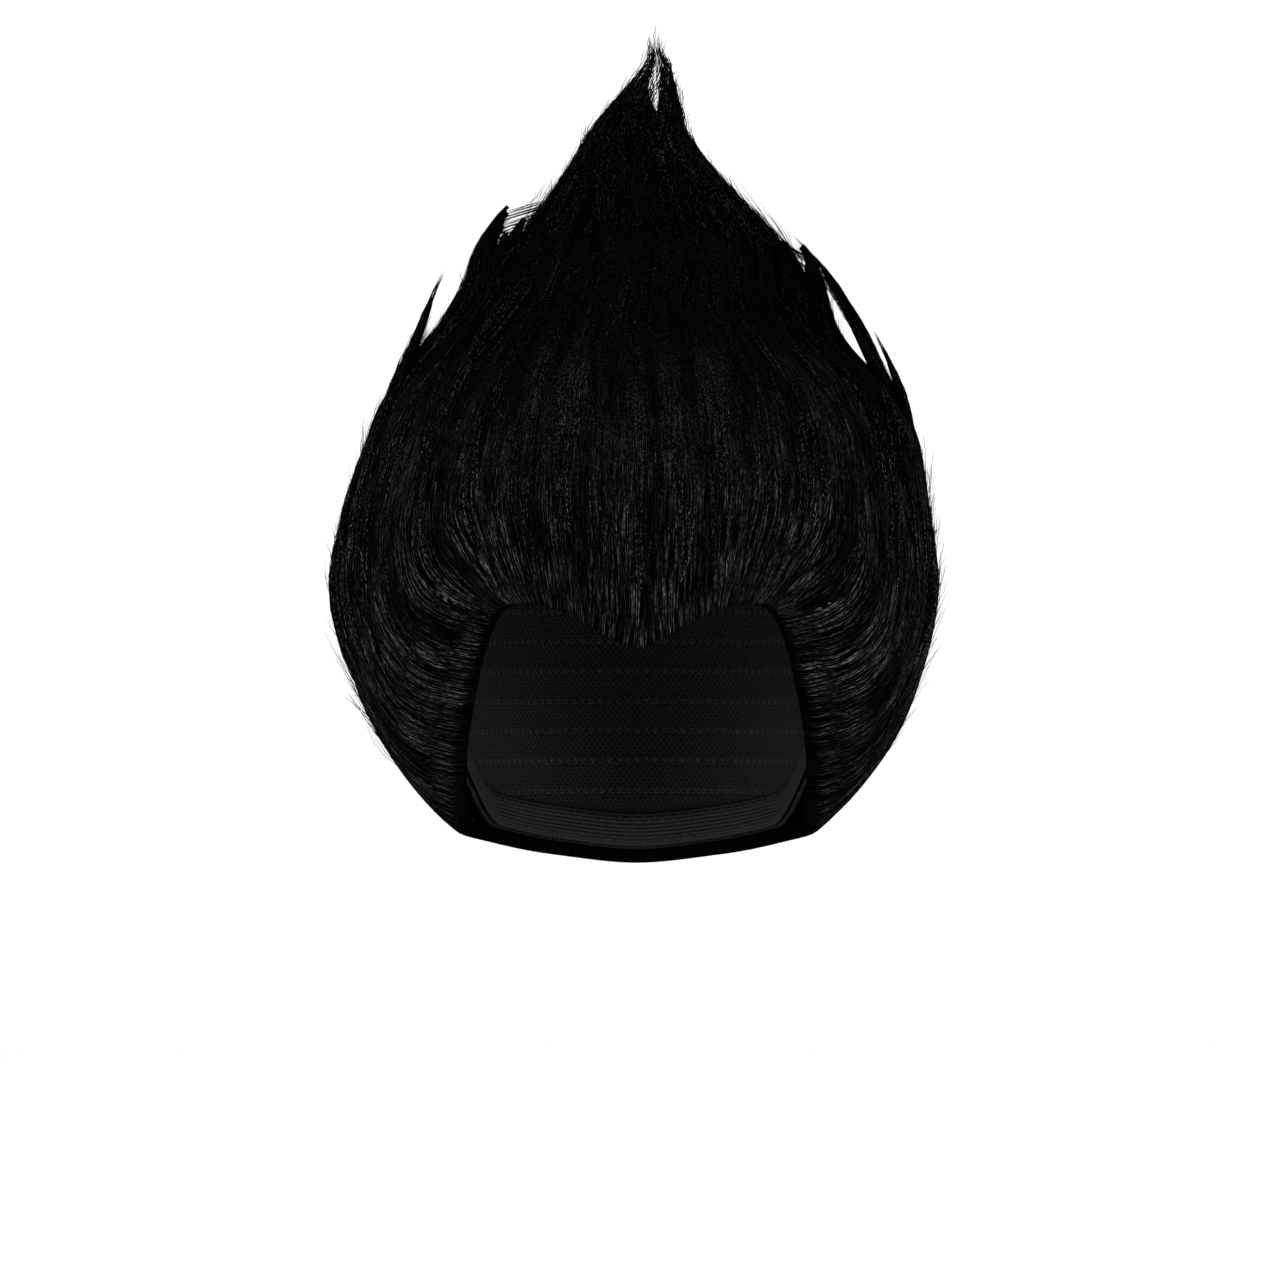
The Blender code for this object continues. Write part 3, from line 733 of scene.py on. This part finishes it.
def tubes(name, paths, radius, material):
    """One mesh of closed three-sided tubes. paths is fibres by knots by 3, radius a thickness for each."""
    count, knots = paths.shape[:2]
    run = np.gradient(paths, axis=1)
    run /= np.linalg.norm(run, axis=2, keepdims=True) + 1e-12
    side = np.cross(run, np.array([0.31, 0.77, 0.55]))
    side /= np.linalg.norm(side, axis=2, keepdims=True) + 1e-12
    other = np.cross(run, side)
    slim = np.sin(np.pi * (np.arange(1, knots - 1) / (knots - 1)) ** 0.7) ** 0.5
    thick = radius[:, None, None] * slim[None, :, None]
    corners = []
    for turn in (0.0, math.tau / 3, 2 * math.tau / 3):
        offset = side[:, 1:-1] * math.cos(turn) + other[:, 1:-1] * math.sin(turn)
        corners.append(paths[:, 1:-1] + offset * thick)
    rings = np.stack(corners, axis=2).reshape(count, -1, 3)
    points = np.concatenate([paths[:, :1], rings, paths[:, -1:]], axis=1)
    each = points.shape[1]
    faces = []
    spots = []
    last = each - 1
    for k in range(3):
        n = (k + 1) % 3
        faces.append((0, 1 + n, 1 + k))
        spots.append(((k + 0.5, 0), (k + 1, 1), (k, 1)))
        for j in range(knots - 3):
            a, b = 1 + 3 * j, 4 + 3 * j
            faces.append((a + k, a + n, b + n))
            spots.append(((k, j + 1), (k + 1, j + 1), (k + 1, j + 2)))
            faces.append((a + k, b + n, b + k))
            spots.append(((k, j + 1), (k + 1, j + 2), (k, j + 2)))
        faces.append((last - 3 + k, last - 3 + n, last))
        spots.append(((k, knots - 2), (k + 1, knots - 2), (k + 0.5, knots - 1)))
    faces = (np.array(faces)[None] + each * np.arange(count)[:, None, None]).reshape(-1, 3)
    mesh = bpy.data.meshes.new(name)
    mesh.from_pydata(points.reshape(-1, 3), [], faces)
    cells = math.ceil(math.sqrt(count))
    corner = np.array(spots, float) / np.array([3.0, knots - 1.0]) * 0.86 + 0.07
    cell = np.stack([np.arange(count) % cells, np.arange(count) // cells], axis=1)
    layer = mesh.uv_layers.new(name="OFBake")
    uv = (cell[:, None, None, :] + corner[None]) / cells
    layer.data.foreach_set("uv", uv.reshape(-1).astype(np.float32))
    tones = np.random.default_rng(count).uniform(0.0, 1.0, count) ** 3.0
    shade = mesh.attributes.new("tone", "FLOAT", "POINT")
    shade.data.foreach_set("value", np.repeat(tones, each).astype(np.float32))
    mesh.shade_smooth()
    mesh.materials.append(material)
    piece = bpy.data.objects.new(name, mesh)
    bpy.context.scene.collection.objects.link(piece)
    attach(piece, "root")
    print(name, count, "fibres,", len(mesh.polygons), "triangles")


# %% Fibres that follow the combing
STEPS = np.linspace(0.0, 1.0, KNOTS)[None, :]


def fibres(root, start, climb, lift, stray, crimp, seed, parting=1.7):
    """Paths from root angles, start heights, climbs, lifts (from, to), sideways straying and crimp."""
    draw = np.random.default_rng(seed)
    count = len(root)
    low = hairline(root)
    z = start[:, None] + climb[:, None] * STEPS
    top = 0.62 * HAIR_RISE
    share = (z - low[:, None]) / (top - low[:, None])
    angle = combed(root[:, None], share)
    raised = lift[0][:, None] + (lift[1] - lift[0])[:, None] * STEPS**parting
    reach = field_reach(angle, z) + raised
    turns = draw.uniform(0, math.tau, (count, 3))
    zigzag = np.where(np.arange(KNOTS) % 2 == 0, 1.0, -1.0)[None, :] * crimp[:, None]
    bow = stray[:, None] * np.sin(STEPS * draw.uniform(1.5, 4.5, (count, 1)) + turns[:, :1])
    bow = bow - bow[:, :1]
    sway = bow + zigzag * draw.uniform(0.6, 1.2, (count, KNOTS))
    angle = angle + np.degrees(sway / np.maximum(reach, 0.012))
    reach = reach + 0.5 * zigzag * np.sin(turns[:, 1:2] + 2 * STEPS)
    return place(angle, z, reach)


# %% [markdown]
# Each panel gets three kinds: fibres rooted at the hairline, which turn out of the seam and hide the
# rim of the mass, fibres laid all over it, and a few that stray out into the air.

# %% Loose fibres of the four panels
Cover = namedtuple("Cover", "rooted laid stray short long")
COVERS = {
    "front_hair": Cover(800, 1750, 350, 0.026, 0.070),
    "right_hair": Cover(700, 1650, 900, 0.050, 0.120),
    "left_hair": Cover(700, 1650, 900, 0.050, 0.120),
    "back_hair": Cover(300, 1200, 600, 0.050, 0.120),
}


def bundled(draw, low, high, count):
    """Places that crowd together in bundles of eight or so."""
    middles = draw.uniform(low, high, count // 8)
    places = middles[draw.integers(0, len(middles), count)] + draw.normal(0.0, 0.45, count)
    return np.clip(places, low, high)


def panel_fibres(node, seed):
    panel, cover = PANELS[node], COVERS[node]
    draw = np.random.default_rng(seed)
    paths = []
    root = draw.uniform(panel.first, panel.first + panel.span, cover.rooted)
    climb = draw.uniform(cover.short, cover.long, cover.rooted)
    lift = (np.full(cover.rooted, -0.0048), draw.uniform(0.0001, 0.0010, cover.rooted))
    start = hairline(root) + draw.normal(0.0, 0.0005, cover.rooted)
    crimp = draw.uniform(0.00004, 0.00016, cover.rooted)
    bow = draw.normal(0, 0.0010, cover.rooted)
    paths.append(fibres(root, start, climb, lift, bow, crimp, seed + 1, 0.4))
    root = bundled(draw, panel.first, panel.first + panel.span, cover.laid)
    top = lock_lines(panel, root)[0]
    low = hairline(root)
    start = low + (top - 0.012 - low) * draw.uniform(0.0, 1.0, cover.laid)
    past = 0.026 if node == "front_hair" else 0.003
    limit = top + draw.uniform(-0.010, past, cover.laid)
    climb = np.minimum(draw.uniform(cover.short, cover.long, cover.laid), limit - start)
    lift = (np.full(cover.laid, -0.0006), draw.uniform(-0.0002, 0.0022, cover.laid))
    crimp = draw.uniform(0.00006, 0.00022, cover.laid)
    paths.append(fibres(root, start, climb, lift, draw.normal(0, 0.0014, cover.laid), crimp, seed + 2))
    root = draw.uniform(panel.first, panel.first + panel.span, cover.stray)
    start = hairline(root) + (top.mean() - hairline(root)) * draw.uniform(0.05, 0.97, cover.stray)
    climb = draw.uniform(0.012, 0.048, cover.stray)
    lift = (np.full(cover.stray, -0.0006), 0.0008 + 0.0060 * draw.uniform(0.0, 1.0, cover.stray) ** 2)
    crimp = draw.uniform(0.0002, 0.0007, cover.stray)
    paths.append(fibres(root, start, climb, lift, draw.normal(0, 0.0050, cover.stray), crimp, seed + 3))
    paths = np.concatenate(paths)
    radius = draw.uniform(0.00013, 0.00022, len(paths))
    radius[-cover.stray:] *= 0.85
    tubes(node.replace("hair", "fibres"), paths, radius, LOOSE)


for number, name in enumerate(COVERS):
    panel_fibres(name, 100 + 10 * number)

# %% Loose fibres of the crown and the open sheaf at the tip
SLIT_FROM = 0.134
SLIT_TO = 0.153
SLIT_HALF = 0.0004


def beside_slit(paths):
    """Whether fibres keep clear of the slit in the tip."""
    x, z = paths[:, :, 0], paths[:, :, 2]
    slit = 0.0080 - 0.05 * (z - 0.140)
    inside = (z > SLIT_FROM) & (z < SLIT_TO) & (np.abs(x - slit) < SLIT_HALF)
    return ~inside.any(axis=1)


def tip_sheaf(draw, count):
    """Crimped fibres that fill the tip's oval, thinner and thinner towards its end."""
    root = draw.uniform(0.0, 360.0, (count, 1))
    depth = draw.uniform(0.15, 1.0, (count, 1)) ** 0.5
    start = draw.uniform(0.104, 0.148, (count, 1))
    end = start + draw.uniform(0.014, 0.034, (count, 1))
    limit = draw.uniform(0.148, 0.166, (count, 1))
    limit = limit + 0.010 * draw.uniform(0, 1, (count, 1)) ** 6
    end = np.minimum(end, limit)
    z = start + (end - start) * STEPS
    out = draw.uniform(-0.0010, 0.0022, (count, 1)) * STEPS
    crimp = draw.normal(0.0, 0.00045, (count, KNOTS))
    reach = np.maximum(crown_reach(root, np.minimum(z, 0.158)) * depth, 0.0006) + out + crimp
    angle = root + np.degrees(draw.normal(0.0, 0.00045, (count, KNOTS)) / np.maximum(reach, 0.006))
    return place(angle, z, reach)


def crown_fibres(seed):
    draw = np.random.default_rng(seed)
    laid, stray, sheaf = 1900, 420, 460
    root = draw.uniform(0.0, 360.0, laid)
    start = draw.uniform(0.062, 0.138, laid)
    climb = np.minimum(draw.uniform(0.018, 0.045, laid), draw.uniform(0.128, 0.150, laid) - start)
    lift = (np.full(laid, -0.0016), draw.uniform(-0.0012, 0.0010, laid))
    crimp = draw.uniform(0.0003, 0.0007, laid)
    paths = [fibres(root, start, climb, lift, draw.normal(0, 0.0016, laid), crimp, seed + 1)]
    root = draw.uniform(0.0, 360.0, stray)
    start = draw.uniform(0.070, 0.140, stray)
    climb = draw.uniform(0.010, 0.026, stray)
    lift = (np.full(stray, -0.0012), 0.0006 + 0.0040 * draw.uniform(0.0, 1.0, stray) ** 2)
    crimp = draw.uniform(0.0003, 0.0008, stray)
    paths.append(fibres(root, start, climb, lift, draw.normal(0, 0.0030, stray), crimp, seed + 2))
    paths.append(tip_sheaf(draw, sheaf))
    radius = draw.uniform(0.00014, 0.00023, laid + stray + sheaf)
    paths = np.concatenate(paths)
    kept = beside_slit(paths)
    tubes("crown_fibres", paths[kept], radius[kept], LOOSE)


crown_fibres(170)

# %% [markdown]
# ## Tufts
#
# Some locks came loose when the wig was teased, and their tips stand off the outline. Each tuft has a
# flat core that tapers to its tip, and a sheaf of fibres that closes on it and parts at the end, so that
# light shows between them. The detached locks have no core at all.

# %% Cores and sheaves
Tuft = namedtuple("Tuft", "angle root tip width lift core")
TUFTS = (
    Tuft(272.0, -0.10, 0.395, 0.026, 0.0015, 0.92),
    Tuft(281.0, -0.30, 0.225, 0.028, 0.0020, 0.92),
    Tuft(266.0, -0.62, -0.16, 0.032, 0.0010, 0.92),
    Tuft(248.0, -0.20, 0.300, 0.028, 0.0030, 0.92),
    Tuft(268.0, -0.70, -0.10, 0.016, 0.0026, 0.0),
    Tuft(274.0, -0.34, 0.06, 0.012, 0.0026, 0.0),
    Tuft(87.0, -0.25, 0.240, 0.027, 0.0030, 0.92),
    Tuft(97.0, -0.05, 0.485, 0.024, 0.0010, 0.92),
    Tuft(90.0, 0.16, 0.455, 0.020, 0.0004, 0.0),
    Tuft(84.0, 0.10, 0.440, 0.022, -0.0014, 0.0),
    Tuft(84.0, -0.62, -0.20, 0.014, 0.0022, 0.0),
    Tuft(70.0, -0.40, 0.120, 0.026, 0.0020, 0.92),
    Tuft(114.0, -0.40, 0.180, 0.030, 0.0030, 0.92),
    Tuft(160.0, -0.20, 0.340, 0.028, 0.0030, 0.92),
    Tuft(186.0, -0.40, 0.240, 0.032, 0.0030, 0.92),
    Tuft(204.0, -0.10, 0.420, 0.026, 0.0030, 0.92),
)


def height_of(level):
    return level * (HAIR_RISE if level > 0 else HAIR_DROP)


def spine_of(tuft, share):
    """Heights and distances of a tuft's middle line at shares of its length."""
    z = height_of(tuft.root) + (height_of(tuft.tip) - height_of(tuft.root)) * share
    if tuft.core:
        out = -0.42 * tuft.width + (tuft.lift + 0.42 * tuft.width) * share**0.8
    else:
        out = -0.0030 + (tuft.lift + 0.0030) * np.sin(np.pi * np.clip(share, 0.0, 1.0)) ** 0.6
    return z, hair_reach(np.full_like(z, tuft.angle), z) + out


def tuft_cores():
    whole = bmesh.new()
    for tuft in TUFTS:
        if not tuft.core:
            continue
        bm, round_it, up = flat_grid(12, 18)
        up = up * tuft.core
        turn = math.tau * round_it
        slim = np.sqrt(np.maximum(1 - up / tuft.core, 0.002))
        z, reach = spine_of(tuft, up)
        wide = tuft.width / 2 * slim * (1 + 0.10 * np.sin(7 * turn + 5 * up))
        angle = tuft.angle + np.degrees(wide * np.cos(turn) / reach)
        points = place(angle, z, reach + 0.34 * wide * np.sin(turn))
        bend(bm, points, wide * np.cos(turn), z, "combed")
        bmesh.ops.remove_doubles(bm, verts=bm.verts, dist=1e-6)
        bmesh.ops.holes_fill(bm, edges=bm.edges)
        bmesh.ops.recalc_face_normals(bm, faces=bm.faces)
        mesh = bpy.data.meshes.new("core")
        bm.to_mesh(mesh)
        bm.free()
        whole.from_mesh(mesh)
        bpy.data.meshes.remove(mesh)
    piece = finished(whole, "tuft_cores", DENSE)


def tuft_fibres(seed):
    draw = np.random.default_rng(seed)
    paths = []
    for tuft in TUFTS:
        count = round(4200 * tuft.width + 20)
        first = draw.uniform(0.0, 0.55, (count, 1)) * (1 if tuft.core else 0.5)
        last = draw.uniform(0.80, 1.08, (count, 1)) if tuft.core else draw.uniform(0.7, 1.0, (count, 1))
        share = first + (last - first) * STEPS
        z, reach = spine_of(tuft, share)
        slim = np.sqrt(np.maximum(1 - 0.92 * share, 0.03))
        side = draw.uniform(-1.0, 1.0, (count, 1)) * slim * tuft.width / 2
        kink = draw.uniform(0.0001, 0.0004, (count, 1)) * np.where(np.arange(KNOTS) % 2 == 0, 1.0, -1.0)
        loosened = draw.normal(0.0, 0.0014, (count, 1)) * STEPS**2
        angle = tuft.angle + np.degrees((side + kink + loosened) / np.maximum(reach, 0.02))
        depth = draw.uniform(-0.2, 1.0, (count, 1)) * 0.30 * slim * tuft.width / 2
        if not tuft.core:
            depth = draw.uniform(-0.0030, 0.0006, (count, 1)) * draw.uniform(0.0, 1.0, (count, 1))
        paths.append(place(angle, z, reach + depth + 0.6 * kink))
    paths = np.concatenate(paths)
    tubes("tuft_fibres", paths, draw.uniform(0.00011, 0.00019, len(paths)), LOOSE)


tuft_cores()
tuft_fibres(210)

# %% [markdown]
# ## The cap
#
# Below the hairline the eye looks into the cap. It is a stretch net with the hair sewn on in rows, and
# each row shows inside as a raised line of stitches. The cap is the same bent grid as the hair, with a
# ridge for each sewn row, thickened outwards.

# %% Net and sewn rows
SEWN_ROWS = 0.0125
MESH_ACROSS = 0.0022
MESH_ALONG = 0.0030
HEAD_RING = 0.085


def cap_edge(angle):
    return hairline(angle) + CAP_INSET + HAIR_DROP * read(EAR, "rise", folded(angle))


def net_finish():
    finish = Finish("cap_net")
    across, along, _ = finish.parts(finish.node("ShaderNodeUVMap", {"uv_map": "net"}))
    skew = (across * (math.tau / MESH_ACROSS) + along * (math.tau / MESH_ALONG)).sine()
    other = (across * (math.tau / MESH_ACROSS) - along * (math.tau / MESH_ALONG)).sine()
    net = skew.math("MAXIMUM", skew, other)
    row = (along * (math.tau / SEWN_ROWS)).sine()
    sewn = ((row - 0.72) * 6.0).clamped()
    stitch = ((across * (math.tau / 0.0035)).sine() * 0.5 + 0.5) * sewn
    share = (net * 0.35 + 0.35).clamped() * 0.5 + stitch * 0.5
    return finish.wear(
        Base_Color=finish.shades(share, (0.0014, 0.0014, 0.0015), (0.0115, 0.0112, 0.0109)),
        Roughness=0.75 - stitch * 0.2,
        Normal=finish.bump(net * 0.35 + stitch * 0.8, 0.0007),
        Specular_IOR_Level=0.10,
    )


NET = net_finish()


def make_cap():
    bm, across, up = flat_grid(120, 72)
    angle = 360.0 * across
    edge = cap_edge(angle)
    z = edge * np.clip(up, 0.004, 1.0) ** 1.6
    row = np.sin(math.tau * z / SEWN_ROWS)
    ridge = 0.0007 * np.clip((row - 0.6) / 0.4, 0.0, 1.0)
    reach = head_reach(angle, z, 0.0) - ridge * smoothstep(up / 0.1)
    bend(bm, place(angle, z, reach), np.radians(angle) * HEAD_RING, z, "net")
    bmesh.ops.remove_doubles(bm, verts=bm.verts, dist=1e-6)
    bmesh.ops.recalc_face_normals(bm, faces=bm.faces)
    top = [edge for edge in bm.edges if edge.is_boundary and max(v.co.z for v in edge.verts) > -0.01]
    bmesh.ops.holes_fill(bm, edges=top)
    bmesh.ops.solidify(bm, geom=list(bm.faces), thickness=-CAP_WALL)
    piece = finished(bm, "cap", NET)
    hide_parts("net_cap")


make_cap()

# %% [markdown]
# ## The elastic band
#
# A woven elastic runs round the inside of the cap's edge. Its ribs run along it, and a zigzag of thread
# holds it at both of its sides.

# %% Woven elastic
def elastic_finish():
    finish = Finish("band_elastic")
    across, along, _ = finish.parts(finish.node("ShaderNodeUVMap", {"uv_map": "woven"}))
    rib = (along * (math.tau / 0.0016)).sine()
    pick = (across * (math.tau / 0.0011)).sine()
    zigzag = (across * (math.tau / 0.0052)).sine() * 0.0011
    side = (along - 0.0026 + zigzag).size()
    far = (along - 0.0114 + zigzag).size()
    thread = (1.0 - side.math("MINIMUM", side, far) / 0.0004).clamped()
    share = (rib * 0.25 + pick * 0.15 + 0.45).clamped() * 0.6 + thread * 0.4
    return finish.wear(
        Base_Color=finish.shades(share, (0.0018, 0.0018, 0.0019), (0.0150, 0.0147, 0.0144)),
        Roughness=0.66 - thread * 0.18,
        Normal=finish.bump(rib * 0.4 + pick * 0.2 + thread, 0.0004),
        Specular_IOR_Level=0.12,
    )


ELASTIC = elastic_finish()
BAND_WIDTH = 0.014
BAND_WALL = 0.0010


def make_band():
    bm, across, up = flat_grid(150, 4)
    angle = 360.0 * across
    z = cap_edge(angle) + 0.0012 + BAND_WIDTH * up
    reach = head_reach(angle, z, 0.0) - 0.0016 - 0.0003 * up
    bend(bm, place(angle, z, reach), np.radians(angle) * HEAD_RING, BAND_WIDTH * up, "woven")
    bmesh.ops.remove_doubles(bm, verts=bm.verts, dist=1e-6)
    bmesh.ops.recalc_face_normals(bm, faces=bm.faces)
    bmesh.ops.solidify(bm, geom=list(bm.faces), thickness=BAND_WALL)
    piece = finished(bm, "elastic", ELASTIC)
    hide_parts("edge_band")


make_band()

# %% [markdown]
# ## Floor, light and camera
#
# A pale floor runs back into a pale wall through a wide bend, so that no line crosses the view from in
# front. The light is soft and comes from in front, low and from both sides, which leaves the top of the
# hair dark and lights the fibres at the temples.

# %% A pale sweep
FLOOR = -0.42
FLOOR_HALF = (40.0, 23.0)
WALL_AT = 6.0
WALL_HEIGHT = 6


def make_floor():
    finish = Finish("pale_paper")
    grain = finish.noise(finish.node("ShaderNodeTexCoord", output=3), 60.0, 3.0)
    finish.wear(
        Base_Color=finish.shades(grain, (0.86, 0.86, 0.86), (0.90, 0.90, 0.90)),
        Roughness=0.9,
        Normal=finish.bump(grain, 0.0002, 0.3),
        Specular_IOR_Level=0.1,
    )
    bm = bmesh.new()
    bmesh.ops.create_grid(bm, x_segments=1, y_segments=1, size=1.0)
    bmesh.ops.scale(bm, verts=bm.verts, vec=(*FLOOR_HALF, 1.0))
    bmesh.ops.translate(bm, verts=bm.verts, vec=(0.0, WALL_AT - FLOOR_HALF[1], 0.0))
    far = [edge for edge in bm.edges if min(v.co.y for v in edge.verts) > WALL_AT - 0.1]
    raised = bmesh.ops.extrude_edge_only(bm, edges=far)["geom"]
    tops = [v for v in raised if isinstance(v, bmesh.types.BMVert)]
    bmesh.ops.translate(bm, verts=tops, vec=(0, 0, WALL_HEIGHT))
    foot = [v for v in bm.verts if abs(v.co.y - WALL_AT) < 1e-4 and v.co.z < 1e-4]
    bend_edge = [edge for edge in bm.edges if all(v in foot for v in edge.verts)]
    bmesh.ops.bevel(bm, geom=bend_edge, offset=2.5, segments=24, profile=0.5, affect="EDGES", material=-1)
    bmesh.ops.translate(bm, verts=bm.verts, vec=(0, 0, FLOOR))
    mesh = bpy.data.meshes.new("floor")
    bm.to_mesh(mesh)
    bm.free()
    mesh.shade_smooth()
    mesh.materials.append(finish.material)
    floor = bpy.data.objects.new("floor", mesh)
    bpy.context.scene.collection.objects.link(floor)


make_floor()

# %% Soft lights
def soft_light(name, place_at, size, power):
    data = bpy.data.lights.new(name, "AREA")
    data.shape = "DISK"
    data.size = size
    data.energy = power
    lamp = bpy.data.objects.new(name, data)
    lamp.location = place_at
    lamp.rotation_euler = (Vector((0, 0, -0.05)) - Vector(place_at)).to_track_quat("-Z", "Y").to_euler()
    bpy.context.scene.collection.objects.link(lamp)


soft_light("front_left", (-1.5, -1.9, 0.10), 1.0, 48.0)
soft_light("front_right", (1.5, -1.9, 0.10), 1.0, 48.0)
soft_light("above", (0.0, -0.6, 2.2), 1.5, 16.0)

world = bpy.data.worlds.new("studio")
world.use_nodes = True
world.node_tree.nodes["Background"].inputs["Color"].default_value = (1.0, 1.0, 1.0, 1.0)
world.node_tree.nodes["Background"].inputs["Strength"].default_value = 1.1
bpy.context.scene.world = world
bpy.context.scene.view_settings.view_transform = "Standard"

# %% The photograph's camera
DISTANCE = 3.5
SEEN = 0.5248
camera = bpy.data.cameras.new("camera")
camera.lens = camera.sensor_width * DISTANCE / SEEN
stand = bpy.data.objects.new("camera", camera)
stand.location = (0.0014, -DISTANCE, -0.0832)
stand.rotation_euler = (math.radians(90), 0.0, 0.0)
bpy.context.scene.collection.objects.link(stand)
bpy.context.scene.camera = stand

# %% Sizes for the record, and the end
shown = [item for item in bpy.context.scene.objects if item.type == "MESH" and not item.hide_render]
print("triangles shown:", sum(len(p.vertices) - 2 for item in shown for p in item.data.polygons))
